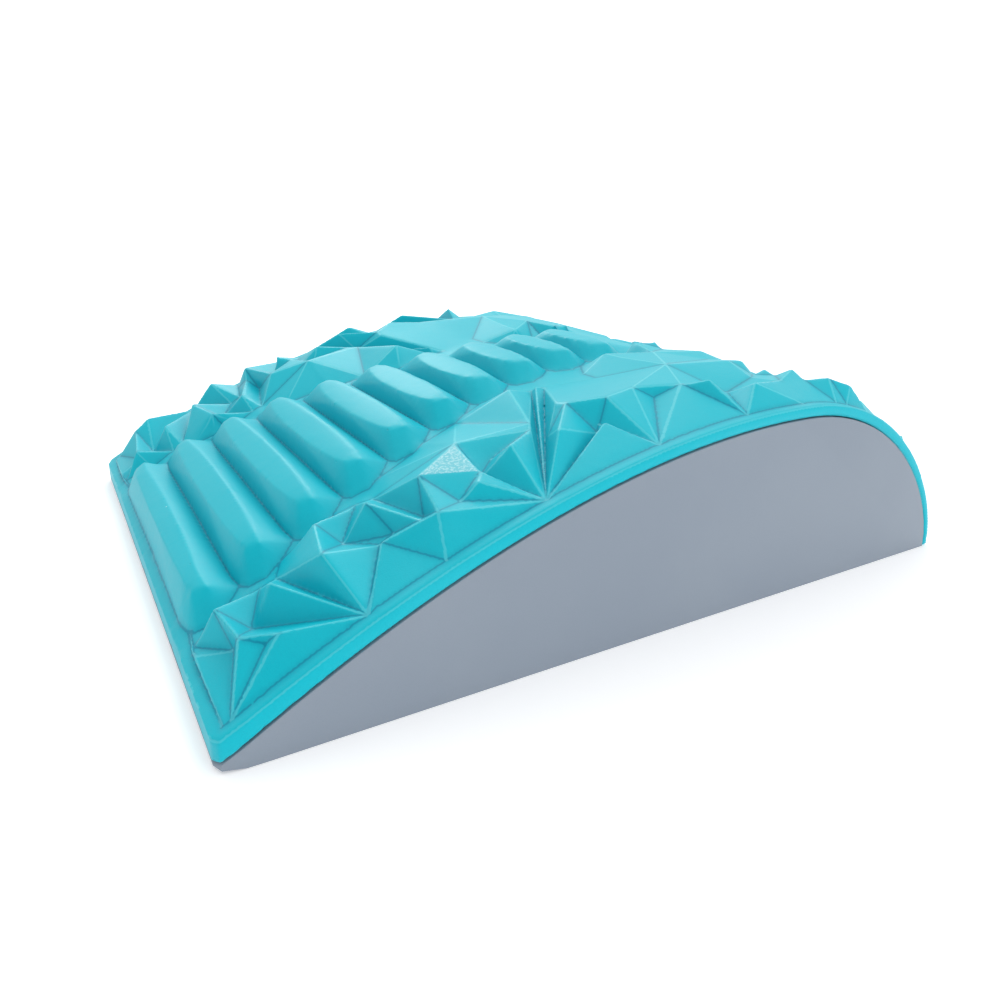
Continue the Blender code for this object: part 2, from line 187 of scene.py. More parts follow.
class Tree:
    """Builds nodes in one node tree."""

    def __init__(self, nodes: bpy.types.NodeTree) -> None:
        """Keep the node tree.

        Args:
            nodes: the tree to build in.
        """
        self.nodes = nodes

    @staticmethod
    def find(sockets: bpy.types.bpy_prop_collection, key: str | int) -> bpy.types.NodeSocket:
        """Find a socket.

        Args:
            sockets: a node's inputs or outputs.
            key: a socket's place, identifier or name.

        Returns:
            The socket.
        """
        if isinstance(key, int):
            return sockets[key]
        exact = [socket for socket in sockets if socket.identifier == key]
        return exact[0] if exact else sockets[key]

    def node(self, kind: str, settings: dict[str, object],
             sockets: dict[str | int, object]) -> bpy.types.Node:
        """Make a node.

        Args:
            kind: the node's type.
            settings: its properties, which are set first.
            sockets: values or links for its inputs.

        Returns:
            The node.
        """
        node = self.nodes.nodes.new(kind)
        for name, setting in settings.items():
            setattr(node, name, setting)
        for key, content in sockets.items():
            socket = self.find(node.inputs, key)
            if isinstance(content, Value):
                self.nodes.links.new(content.socket, socket)
            else:
                socket.default_value = content
        return node

    def value(self, kind: str, settings: dict[str, object], sockets: dict[str | int, object],
              output: str | int = 0) -> Value:
        """Make a node and take one of its outputs.

        Args:
            kind: the node's type.
            settings: its properties.
            sockets: values or links for its inputs.
            output: the output's place, identifier or name.

        Returns:
            The output, ready for an expression.
        """
        return Value(self, self.find(self.node(kind, settings, sockets).outputs, output))

    def math(self, operation: str, *numbers: Value | float) -> Value:
        """One step of arithmetic.

        Args:
            operation: the Math node's operation.
            numbers: its operands.

        Returns:
            The result.
        """
        return self.value("ShaderNodeMath", {"operation": operation}, dict(enumerate(numbers)))

    def vector(self, operation: str, *vectors: object, output: str = "Vector", **named: object) -> Value:
        """One step of vector arithmetic.

        Args:
            operation: the Vector Math node's operation.
            vectors: its operands.
            output: which output to take.
            named: values for sockets that go by name.

        Returns:
            The result.
        """
        sockets = {**dict(enumerate(vectors)), **named}
        return self.value("ShaderNodeVectorMath", {"operation": operation}, sockets, output)

    def mix(self, share: Value | float, first: object, second: object) -> Value:
        """Blend two colours.

        Args:
            share: 0 for the first colour, 1 for the second.
            first: a colour.
            second: a colour.

        Returns:
            The blended colour.
        """
        sockets = {"Factor_Float": share, "A_Color": first, "B_Color": second}
        return self.value("ShaderNodeMix", {"data_type": "RGBA"}, sockets, "Result_Color")

    def noise(self, place: Value, size: float, detail: float = 2.0, distortion: float = 0.0) -> Value:
        """Soft noise.

        Args:
            place: the coordinates that it reads.
            size: the width of its patches, in metres.
            detail: how many finer layers it has.
            distortion: how much it is stirred.

        Returns:
            A value from 0 to 1.
        """
        sockets = {"Vector": place, "Scale": 1 / size, "Detail": detail, "Distortion": distortion}
        return self.value("ShaderNodeTexNoise", {}, sockets, 0)


@dataclass(frozen=True)
class FoamFinish:
    """The skin of closed-cell foam: colours, mottling, grain, pits, painted highlights along ridges, painted
    shade in and beside creases, and painted glints on marked facets and in pale specks.
    """

    name: str
    # The base colour, a paler one for mottling and for the painted highlights along ridges, and a deeper one
    # for grain and for the painted shade in creases
    colour: tuple[float, float, float]
    pale: tuple[float, float, float]
    deep: tuple[float, float, float]
    roughness: float
    specular: float
    grain_size: float
    grain_height: float
    ripple_size: float
    ripple_height: float
    patch_size: float
    patch_strength: float
    speck_spacing: float
    speck_size: float
    speck_share: float
    ridge_highlight: float
    crease_shading: float
    # The colour of the painted glints: the pale specks and the marked facets
    glint_colour: tuple[float, float, float] = (0.72, 0.90, 0.92)
    # The grain size of the painted glint on marked facets
    glint_grain_size: float = 0.9 * MM
    pit_depth: float = 0.25 * MM
    # Half the width of each painted line (highlight on ridges, shade in creases) and of its soft painted
    # shade, and the share of it, or of a speck, at full strength
    ridge_width: float = 0.75 * MM
    ridge_core: float = 0.3
    crease_width: float = 0.6 * MM
    crease_core: float = 0.25
    shade_width: float = 2.6 * MM
    speck_core: float = 0.3
    # The levels between which each kind of patch fades in
    patch_levels: tuple[float, float] = (0.35, 0.68)
    grain_levels: tuple[float, float] = (0.45, 0.75)
    glint_levels: tuple[float, float] = (0.4, 0.9)
    glint_grain_levels: tuple[float, float] = (0.42, 0.62)
    # How much of the other colour each effect mixes in
    grain_tint: float = 0.10
    shade_tint: float = 0.4
    glint_tint: float = 0.18
    glint_grain_tint: float = 0.30
    speck_tint: float = 0.8
    # How much each effect changes the roughness
    patch_matt: float = 0.10
    grain_matt: float = 0.16
    ridge_gloss: float = 0.06
    # How many pits there are for each speck, and the share of specks and pits at full strength
    pits_per_speck: float = 2.0
    strong_share: float = 0.9

    def material(self) -> bpy.types.Material:
        """Build the finish.

        Returns:
            The material.
        """
        material = bpy.data.materials.new(self.name)
        material.use_nodes = True
        tree = Tree(material.node_tree)
        place = tree.value("ShaderNodeTexCoord", {}, {}, "Object")
        patches = tree.noise(place, self.patch_size, detail=3, distortion=0.4)
        grain = tree.noise(place, self.grain_size, detail=3)
        ripple = tree.noise(place, self.ripple_size)
        speck, pit = self.specks(tree, place)
        ridge, crease, shade = self.lines(tree)

        mottled = patches.ease(*self.patch_levels) * self.patch_strength
        colour = tree.mix(mottled, (*self.colour, 1), (*self.pale, 1))
        colour = tree.mix((1 - grain).ease(*self.grain_levels) * self.grain_tint, colour, (*self.deep, 1))
        # Painted shade: the deep colour in a soft band beside creases and the groove, and in a thin line along
        # them
        colour = tree.mix(shade * self.crease_shading * self.shade_tint, colour, (*self.deep, 1))
        colour = tree.mix(crease * self.crease_shading, colour, (*self.deep, 1))
        # Painted highlight: the pale colour along ridges, left out on the bars
        colour = tree.mix(ridge * self.ridge_highlight, colour, (*self.pale, 1))
        # Painted glint: a pale, grainy highlight on the marked facets
        rubbed = self.kept(tree, Zone.GLINT_FACETS.value).ease(*self.glint_levels)
        glint_grain = tree.noise(place, self.glint_grain_size).ease(*self.glint_grain_levels)
        colour = tree.mix(rubbed * (self.glint_tint + glint_grain * self.glint_grain_tint), colour, (*self.glint_colour, 1))
        # Painted glints: pale specks
        colour = tree.mix(speck * self.speck_tint, colour, (*self.glint_colour, 1))

        unevenness = (patches - 0.5) * self.patch_matt + (grain - 0.5) * self.grain_matt
        roughness = self.roughness + unevenness - ridge * self.ridge_gloss
        height = grain * self.grain_height + ripple * self.ripple_height - pit * self.pit_depth
        sockets = {"Strength": 1.0, "Distance": 1.0, "Height": height}
        bump = tree.value("ShaderNodeBump", {}, sockets, "Normal")

        shader = tree.nodes.nodes["Principled BSDF"]
        shader.inputs["Specular IOR Level"].default_value = self.specular
        for name, content in (("Base Color", colour), ("Roughness", roughness), ("Normal", bump)):
            tree.nodes.links.new(content.socket, shader.inputs[name])
        return material

    @staticmethod
    def kept(tree: Tree, name: str) -> Value:
        """A number that is kept on the piece's points under a name."""
        return tree.value("ShaderNodeAttribute", {"attribute_name": name}, {}, "Fac")

    def lines(self, tree: Tree) -> tuple[Value, Value, Value]:
        """Where painted highlights run along ridges and painted shade lies in creases.

        Args:
            tree: the material's tree.

        Returns:
            A mask of the ridges for the painted highlight, one of the creases for the painted shade and one of
            the soft painted shade beside the creases.
        """
        away = {line: self.kept(tree, line.value) * MM for line in (Line.RIDGE, Line.CREASE, Line.GROOVE)}
        near_ridge = away[Line.RIDGE].ease(self.ridge_width, self.ridge_core * self.ridge_width)
        ridge = near_ridge * (1 - self.kept(tree, Zone.BARS.value))
        nearest = tree.math("MINIMUM", away[Line.CREASE], away[Line.GROOVE])
        crease = nearest.ease(self.crease_width, self.crease_core * self.crease_width)
        return ridge, crease, nearest.ease(self.shade_width, 0)

    def specks(self, tree: Tree, place: Value) -> tuple[Value, Value]:
        """Scattered tiny pits, which are moulding flaws, and pale specks, which are painted glints.

        Args:
            tree: the material's tree.
            place: object coordinates.

        Returns:
            A mask of the specks and one of the pits.
        """
        cells = tree.node("ShaderNodeTexVoronoi", {}, {"Vector": place, "Scale": 1 / self.speck_spacing})
        distance, tint = (Value(tree, cells.outputs[name]) for name in ("Distance", "Color"))
        chance = tree.value("ShaderNodeSeparateColor", {}, {"Color": tint}, "Red")
        size = self.speck_size / self.speck_spacing
        spot = distance.ease(size, self.speck_core * size)
        pit_share = self.speck_share * self.pits_per_speck
        speck = spot * chance.ease(self.speck_share, self.speck_share * self.strong_share)
        pit = spot * chance.ease(1 - pit_share, 1 - pit_share * self.strong_share)
        return speck, pit


def triangle_distance(face: bmesh.types.BMFace, place: Vector) -> float:
    """How far a place is from a triangle.

    Args:
        face: a triangle.
        place: the place.

    Returns:
        The distance to the nearest point of the triangle.
    """
    return (closest_point_on_tri(place, *(corner.co for corner in face.verts)) - place).length


@dataclass
class Border:
    """The groove that parts the relief from its plain border: along both sides and across the thin end."""

    side: float
    thin_end: float
    tolerance: float = 0.3 * MM

    def holds(self, edge: bmesh.types.BMEdge) -> bool:
        """Tell whether an edge lies in the groove.

        Args:
            edge: an edge of the CAD mesh.

        Returns:
            True where both its ends lie on the groove's line.
        """
        return all(abs(max(abs(end.co.y) - self.side, self.thin_end - end.co.x)) < self.tolerance
                   for end in edge.verts)


@dataclass
class BarZone:
    """Where the cross bars lie: between two lines of noses that draw together towards the crest."""

    thin_end: float
    crest: float
    reach_at_thin_end: float
    reach_at_crest: float

    def reach(self, x: float) -> float:
        """How far from the middle the noses reach.

        Args:
            x: a place along the mat.

        Returns:
            The distance from the middle line.
        """
        share = min(max((x - self.thin_end) / (self.crest - self.thin_end), 0), 1)
        eased = share * share * (3 - 2 * share)
        return self.reach_at_thin_end + (self.reach_at_crest - self.reach_at_thin_end) * eased

    def holds(self, edge: bmesh.types.BMEdge) -> bool:
        """Tell whether an edge is part of the bars.

        Args:
            edge: an edge of the CAD mesh.

        Returns:
            True where both its ends lie between the lines of noses.
        """
        return all(abs(end.co.y) < self.reach(end.co.x) for end in edge.verts)


@dataclass
class Divider:
    """Marks a mesh's lines and the facets that carry a painted glint, and divides it: finely along edges,
    coarsely elsewhere.
    """

    border: Border
    bars: BarZone
    rubbed: tuple[tuple[float, float, float], ...] = ()
    # Length of the edges at a line, how fast it grows away from it, its limit and how far edges may exceed it
    fine: float = 0.8 * MM
    growth: float = 0.5
    coarse: float = 4.5 * MM
    slack: float = 1.5
    passes: int = 11
    least_width: float = 0.06 * MM
    # The greatest angle between faces where edges may turn, and within a facet that carries a painted glint
    flat: float = 0.01
    facet_angle: float = math.radians(3)
    # The least angle at an edge that is kept, at a ridge or crease and at a bar's crisp edge
    sharp: float = math.radians(7)
    line_angle: float = math.radians(11)
    bar_edge_angle: float = math.radians(20)
    # A wall that faces the thin end has an X normal under the first. A ridge climbs at less than the second
    wall_lean: float = -0.6
    upright: float = 0.85

    def kinds(self, edge: bmesh.types.BMEdge) -> list[Line]:
        """Find which of the moulding's lines an edge is part of.

        Args:
            edge: an edge of the CAD mesh.

        Returns:
            The kinds of line.
        """
        angle = edge.calc_face_angle_signed(0)
        climb = abs(edge.verts[0].co.z - edge.verts[1].co.z) / max(edge.calc_length(), self.least_width)
        found = []
        if self.border.holds(edge):
            found.append(Line.GROOVE)
        elif angle < -self.line_angle:
            found.append(Line.CREASE)
        if angle > self.line_angle and climb < self.upright:
            found.append(Line.RIDGE)
        lean = min((face.normal.x for face in edge.link_faces), default=0)
        if self.bars.holds(edge) and angle > self.bar_edge_angle and lean < self.wall_lean:
            found.append(Line.BAR_EDGE)
        return found

    def mark_glint_facets(self, mesh: bmesh.types.BMesh) -> None:
        """Mark the facets that carry a painted glint, a pale grainy highlight.

        Args:
            mesh: the mesh.
        """
        layer = mesh.faces.layers.float.new(GLINT_MARK)
        for place in self.rubbed:
            nearest = min(mesh.faces, key=lambda face: triangle_distance(face, Vector(place)))
            waiting = [nearest]
            while waiting:
                face = waiting.pop()
                face[layer] = 1.0
                for edge in face.edges:
                    if edge.calc_face_angle(math.pi) < self.facet_angle:
                        waiting.extend(other for other in edge.link_faces if other[layer] < 1)

    def mark(self, mesh: bmesh.types.BMesh) -> KDTree:
        """Mark the lines, make the sharp edges seams and spread points along them.

        Args:
            mesh: the mesh.

        Returns:
            A search tree of the points.
        """
        layers = {line: mesh.edges.layers.float.new(line.mark) for line in Line}
        points = []
        for edge in mesh.edges:
            for line in self.kinds(edge):
                edge[layers[line]] = 1.0
            edge.seam = edge.calc_face_angle(math.pi) > self.sharp or self.border.holds(edge)
            if edge.seam:
                first, second = edge.verts[0].co, edge.verts[1].co
                count = max(int(edge.calc_length() / self.fine), 1)
                points.extend(first.lerp(second, step / count) for step in range(count + 1))
        search = KDTree(len(points))
        for number, point in enumerate(points):
            search.insert(point, number)
        search.balance()
        return search

    def divide(self, mesh: bmesh.types.BMesh) -> None:
        """Split the edges until each is short enough for where it lies, and take out slivers.

        Args:
            mesh: the mesh, changed in place.
        """
        mesh.normal_update()
        self.mark_glint_facets(mesh)
        search = self.mark(mesh)
        for _ in range(self.passes):
            long_edges = [edge for edge in mesh.edges if self.is_long(edge, search)]
            if not long_edges:
                break
            bmesh.ops.subdivide_edges(mesh, edges=long_edges, cuts=1)
            wide = [face for face in mesh.faces if len(face.verts) > 3]
            bmesh.ops.triangulate(mesh, faces=wide)
            inner = [edge for edge in mesh.edges if not edge.seam and edge.calc_face_angle(0) < self.flat]
            bmesh.ops.beautify_fill(mesh, faces=mesh.faces[:], edges=inner)
        bmesh.ops.dissolve_degenerate(mesh, dist=self.least_width, edges=mesh.edges[:])
        bmesh.ops.triangulate(mesh, faces=[face for face in mesh.faces if len(face.verts) > 3])

    def is_long(self, edge: bmesh.types.BMEdge, search: KDTree) -> bool:
        """Tell whether an edge still has to be split.

        Args:
            edge: the edge.
            search: points along the sharp edges.

        Returns:
            True where it is too long.
        """
        length = edge.calc_length()
        if length <= self.fine * self.slack:
            return False
        middle = (edge.verts[0].co + edge.verts[1].co) / 2
        away = search.find(middle)[2]
        return length > min(self.fine + self.growth * away, self.coarse) * self.slack


@dataclass
class MouldedSkin:
    """A Geometry Nodes tree that softens the cover as its mould does and measures the way to its lines."""

    bars: BarZone
    groove_depth: float = 0.5 * MM
    groove_width: float = 1.1 * MM
    nose_length: float = 10 * MM
    # How far the crisp edges lean back, how far along the mat and round each edge that fades out, and the
    # share of it that is left at the noses
    lean: float = 4.5 * MM
    lean_run: float = 90 * MM
    lean_width: float = 9.5 * MM
    lean_at_noses: float = 0.3
    # How steeply the arch starts to climb, and how far along it is level
    arch_slope: float = 0.65
    arch_run: float = 239 * MM
    # How often each kind of softening is repeated
    edge_passes: int = 2
    bar_passes: int = 4
    nose_passes: int = 8
    # In nose lengths inside the line of noses: where the bars' zone fades in and the noses' zone fades out
    bars_fade: tuple[float, float] = (-0.3, 0.3)
    noses_fade: tuple[float, float] = (2.0, 1.0)
    # In millimetres from a line: where the softening starts beside a crease and stops beside a crisp edge
    crease_fade: tuple[float, float] = (0.3, 1.2)
    crisp_fade: tuple[float, float] = (1.6, 0.3)
    # In groove widths from the groove's line: where its slope starts and ends
    groove_fade: tuple[float, float] = (1.0, 0.1)
    # The greatest distance that is kept, in millimetres
    farthest: float = 50.0

    def inputs(self) -> dict[str, float | int]:
        """The tree's named inputs and their values."""
        return {
            "Edge passes": self.edge_passes, "Bar passes": self.bar_passes, "Nose passes": self.nose_passes,
            "Reach at thin end": self.bars.reach_at_thin_end, "Reach at crest": self.bars.reach_at_crest,
            "Thin end": self.bars.thin_end, "Crest": self.bars.crest, "Nose length": self.nose_length,
            "Groove depth": self.groove_depth, "Groove width": self.groove_width, "Lean": self.lean,
            "Lean run": self.lean_run, "Lean width": self.lean_width, "Lean at noses": self.lean_at_noses,
            "Arch slope": self.arch_slope, "Arch run": self.arch_run,
        }

    @staticmethod
    def kept(tree: Tree, name: str) -> Value:
        """A number that is kept on the mesh under a name."""
        settings = {"data_type": "FLOAT"}
        return tree.value("GeometryNodeInputNamedAttribute", settings, {"Name": name}, "Attribute")

    def distance(self, tree: Tree, geometry: Value, line: Line) -> Value:
        """The way from each point to the nearest line of a kind.

        Args:
            tree: the tree to build in.
            geometry: the mesh, with its lines marked on its edges.
            line: the kind of line.

        Returns:
            The distance, in millimetres.
        """
        marked = tree.math("GREATER_THAN", self.kept(tree, line.mark), 0.5)
        sockets = {"Geometry": geometry, "Selection": marked}
        edges = tree.value("GeometryNodeSeparateGeometry", {"domain": "EDGE"}, sockets, "Selection")
        near = tree.value("GeometryNodeProximity", {"target_element": "EDGES"}, {"Target": edges}, "Distance")
        return tree.math("MINIMUM", near / MM, self.farthest)

    @staticmethod
    def store(tree: Tree, geometry: Value, name: str, content: Value) -> Value:
        """Keep a number on each point.

        Args:
            tree: the tree to build in.
            geometry: the mesh.
            name: the attribute's name.
            content: the number.

        Returns:
            The mesh with the attribute.
        """
        settings = {"data_type": "FLOAT", "domain": "POINT"}
        sockets = {"Geometry": geometry, "Name": name, "Value": content}
        return tree.value("GeometryNodeStoreNamedAttribute", settings, sockets)

    @staticmethod
    def blur(tree: Tree, geometry: Value, passes: Value, weight: Value | float) -> Value:
        """Even out the surface.

        Args:
            tree: the tree to build in.
            geometry: the mesh.
            passes: how many times each point moves to the middle of its neighbours.
            weight: how much of the way it moves.

        Returns:
            The softened mesh.
        """
        place = tree.value("GeometryNodeInputPosition", {}, {})
        sockets = {"Value": place, "Iterations": passes, "Weight": weight}
        eased = tree.value("GeometryNodeBlurAttribute", {"data_type": "FLOAT_VECTOR"}, sockets, "Value")
        return tree.value("GeometryNodeSetPosition", {}, {"Geometry": geometry, "Position": eased})

    @staticmethod
    def lean_back(tree: Tree, given: dict[str, Value], run: Value, aside: Value, away: Value) -> Value:
        """How the crisp upper edges of the first bars lean back up the arch, so that their walls show.

        Args:
            tree: the tree to build in.
            given: the tree's inputs.
            run: the way from the thin end.
            aside: the way from the middle line, as a share of the bars' reach.
            away: the way to the nearest crisp edge.

        Returns:
            The movement, along the arch.
        """
        near_end = tree.math("MAXIMUM", 1 - run / given["Lean run"], 0.0)
        near_edge = tree.math("MAXIMUM", 1 - away / given["Lean width"], 0.0)
        middle = 1 - (1 - given["Lean at noses"]) * tree.math("MINIMUM", aside * aside, 1.0)
        shift = given["Lean"] * near_end * near_edge * middle
        climb = shift * given["Arch slope"] * (1 - run / given["Arch run"])
        return tree.value("ShaderNodeCombineXYZ", {}, {"X": shift, "Z": climb})

    def measure(self, tree: Tree, given: dict[str, Value]) -> tuple[Value, Value, Value]:
        """Keep on each point how far it lies in each zone and how far it is from each line.

        Args:
            tree: the tree to build in.
            given: the tree's inputs.

        Returns:
            The mesh, the way from the thin end, and the way from the middle line as a share of the bars'
            reach.
        """
        split = tree.node("ShaderNodeSeparateXYZ", {}, {0: tree.value("GeometryNodeInputPosition", {}, {})})
        along, sideways = Value(tree, split.outputs[0]), abs(Value(tree, split.outputs[1]))
        sockets = {"Value": along, "From Min": given["Thin end"], "From Max": given["Crest"],
                   "To Min": given["Reach at thin end"], "To Max": given["Reach at crest"]}
        reach = tree.value("ShaderNodeMapRange", {"interpolation_type": "SMOOTHSTEP"}, sockets, "Result")
        inside = (reach - sideways) / given["Nose length"]
        in_bars = inside.ease(*self.bars_fade)

        mesh = self.store(tree, given["Geometry"], Zone.BARS.value, in_bars)
        mesh = self.store(tree, mesh, Zone.NOSES.value, in_bars * inside.ease(*self.noses_fade))
        mesh = self.store(tree, mesh, Zone.GLINT_FACETS.value, self.kept(tree, GLINT_MARK))
        for line in Line:
            mesh = self.store(tree, mesh, line.value, self.distance(tree, given["Geometry"], line))
        return mesh, along - given["Thin end"], sideways / reach

    def shape(self, tree: Tree, given: dict[str, Value], mesh: Value, run: Value, aside: Value) -> Value:
        """Sink the groove along the border and lean the first bars' crisp edges back.

        Args:
            tree: the tree to build in.
            given: the tree's inputs.
            mesh: the measured mesh.
            run: the way from the thin end.
            aside: the way from the middle line, as a share of the bars' reach.

        Returns:
            The shaped mesh.
        """
        near_groove = self.kept(tree, Line.GROOVE.value) * MM / given["Groove width"]
        depth = near_groove.ease(*self.groove_fade) * given["Groove depth"]
        sunk = tree.vector("SCALE", tree.value("GeometryNodeInputNormal", {}, {}), Scale=-depth)
        lean = self.lean_back(tree, given, run, aside, self.kept(tree, Line.BAR_EDGE.value) * MM)
        for offset in (sunk, lean):
            mesh = tree.value("GeometryNodeSetPosition", {}, {"Geometry": mesh, "Offset": offset})
        return mesh

    def soften(self, tree: Tree, given: dict[str, Value], mesh: Value) -> Value:
        """Soften everything a little, then the bars except at their crisp edges, then the noses.

        The last two leave the creases as they are.

        Args:
            tree: the tree to build in.
            given: the tree's inputs.
            mesh: the shaped mesh.

        Returns:
            The softened mesh.
        """
        mesh = self.blur(tree, mesh, given["Edge passes"], 1.0)
        free = self.kept(tree, Line.CREASE.value).ease(*self.crease_fade)
        crisp = self.kept(tree, Line.BAR_EDGE.value).ease(*self.crisp_fade)
        bars, noses = (self.kept(tree, zone.value) for zone in (Zone.BARS, Zone.NOSES))
        mesh = self.blur(tree, mesh, given["Bar passes"], bars * free * (1 - crisp))
        return self.blur(tree, mesh, given["Nose passes"], noses * free)

    def group(self, material: bpy.types.Material) -> bpy.types.NodeTree:
        """Build the tree.

        Args:
            material: the finish that it sets.

        Returns:
            The node group, with a named input for each size.
        """
        group = bpy.data.node_groups.new("moulded_skin", "GeometryNodeTree")
        group.interface.new_socket("Geometry", in_out="INPUT", socket_type="NodeSocketGeometry")
        for name, content in self.inputs().items():
            kind = "NodeSocketInt" if isinstance(content, int) else "NodeSocketFloat"
            group.interface.new_socket(name, in_out="INPUT", socket_type=kind)
        group.interface.new_socket("Geometry", in_out="OUTPUT", socket_type="NodeSocketGeometry")
        tree = Tree(group)
        start = tree.node("NodeGroupInput", {}, {})
        given = {socket.name: Value(tree, socket) for socket in start.outputs if socket.name}

        mesh, run, aside = self.measure(tree, given)
        mesh = self.shape(tree, given, mesh, run, aside)
        mesh = self.soften(tree, given, mesh)
        smooth = tree.value("GeometryNodeSetShadeSmooth", {}, {"Geometry": mesh})
        whole = tree.value("GeometryNodeRealizeInstances", {}, {"Geometry": smooth})
        dressed = tree.value("GeometryNodeSetMaterial", {}, {"Geometry": whole, "Material": material})
        tree.node("NodeGroupOutput", {}, {0: dressed})
        return group

    def apply(self, piece: bpy.types.Object, material: bpy.types.Material) -> None:
        """Run the tree on a piece and keep the result as a plain mesh.

        Args:
            piece: the divided copy of the cover. It ends with no modifier.
            material: its finish.
        """
        group = self.group(material)
        inputs = self.inputs()
        modifier = piece.modifiers.new("moulded_skin", "NODES")
        modifier.node_group = group
        for socket in group.interface.items_tree:
            if socket.in_out == "INPUT" and socket.name in inputs:
                modifier[socket.identifier] = inputs[socket.name]
        ready = piece.evaluated_get(bpy.context.evaluated_depsgraph_get())
        mesh = bpy.data.meshes.new_from_object(ready)
        piece.modifiers.clear()
        rough, piece.data = piece.data, mesh
        bpy.data.meshes.remove(rough)


@dataclass
class FoamPiece:
    """One foam moulding of the mat, which stands for a CAD node."""

    name: str
    node: str
    slot: Slot
    finish: FoamFinish
    fill: float = 1.0
    merge_distance: float = 0.01 * MM

    def copy(self) -> bmesh.types.BMesh:
        """Copy the CAD node's mesh and merge its loose triangles.

        Returns:
            The merged copy.
        """
        mesh = bmesh.new()
        mesh.from_mesh(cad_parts[self.node].data)
        bmesh.ops.remove_doubles(mesh, verts=mesh.verts[:], dist=self.merge_distance)
        return mesh

    def place(self, mesh: bmesh.types.BMesh) -> bpy.types.Object:
        """Turn a mesh into the piece's object.

        Args:
            mesh: the mesh, which is freed.

        Returns:
            The object, at the origin.
        """
        data = bpy.data.meshes.new(self.name)
        mesh.to_mesh(data)
        mesh.free()
        piece = bpy.data.objects.new(self.name, data)
        bpy.context.scene.collection.objects.link(piece)
        return piece

    def declare(self, piece: bpy.types.Object) -> None:
        """Tell the frame what the piece is and report it.

        Args:
            piece: the finished piece.
        """
        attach(piece, "root")
        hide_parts(self.node)
        log.info("%s: %d triangles", piece.name, sum(len(face.vertices) - 2 for face in piece.data.polygons))


@dataclass
class Core(FoamPiece):
    """The grey core: a plain block of foam with slightly rounded edges."""

    edge_radius: float = 0.35 * MM
    edge_steps: int = 3
    round_profile: float = 0.5
    # Angles between faces: within a flat face, at an edge that is rounded and at one that is shaded sharp
    flat: float = 0.00001
    edge_angle: float = math.radians(30)
    smooth_angle: float = math.radians(12)

    def build(self) -> bpy.types.Object:
        """Copy the CAD node and round its edges.

        Returns:
            The piece.
        """
        mesh = self.copy()
        flat = [edge for edge in mesh.edges if edge.calc_face_angle(0) < self.flat]
        bmesh.ops.dissolve_edges(mesh, edges=flat, use_verts=False)
        sharp = [edge for edge in mesh.edges if edge.calc_face_angle(0) > self.edge_angle]
        bmesh.ops.bevel(mesh, geom=sharp, offset=self.edge_radius, segments=self.edge_steps,
                        profile=self.round_profile, affect="EDGES", clamp_overlap=True)
        bmesh.ops.triangulate(mesh, faces=mesh.faces[:])
        return self.place(mesh)

    def dress(self, piece: bpy.types.Object) -> None:
        """Args:
            piece: what build made.
        """
        piece.data.materials.clear()
        piece.data.materials.append(self.finish.material())
        piece.data.shade_smooth()
        piece.data.set_sharp_from_angle(angle=self.smooth_angle)
        self.declare(piece)


@dataclass
class Cover(FoamPiece):
    """The turquoise cover: facets and cross bars of moulded foam."""

    divider: Divider | None = None
    skin: MouldedSkin | None = None

    def build(self) -> bpy.types.Object:
        """Copy the CAD node and divide it.

        Returns:
            The piece, still with sharp edges.
        """
        mesh = self.copy()
        self.divider.divide(mesh)
        return self.place(mesh)

    def dress(self, piece: bpy.types.Object) -> None:
        """Args:
            piece: what build made.
        """
        self.skin.apply(piece, self.finish.material())
        self.declare(piece)


@dataclass(frozen=True)
class Lamp:
    """One soft round lamp that points at the middle of the mat's base."""

    place: tuple[float, float, float]
    size: float
    power: float
    colour: tuple[float, float, float]

    def hang(self, kind: LampPlace) -> None:
        """Hang the lamp.

        Args:
            kind: where it stands, which names it.
        """
        data = bpy.data.lights.new(kind.value, "AREA")
        data.energy = self.power
        data.shape = "DISK"
        data.size = self.size
        data.color = self.colour
        lamp = bpy.data.objects.new(kind.value, data)
        lamp.location = self.place
        lamp.rotation_euler = (-Vector(self.place)).to_track_quat("-Z", "Y").to_euler()
        bpy.context.scene.collection.objects.link(lamp)


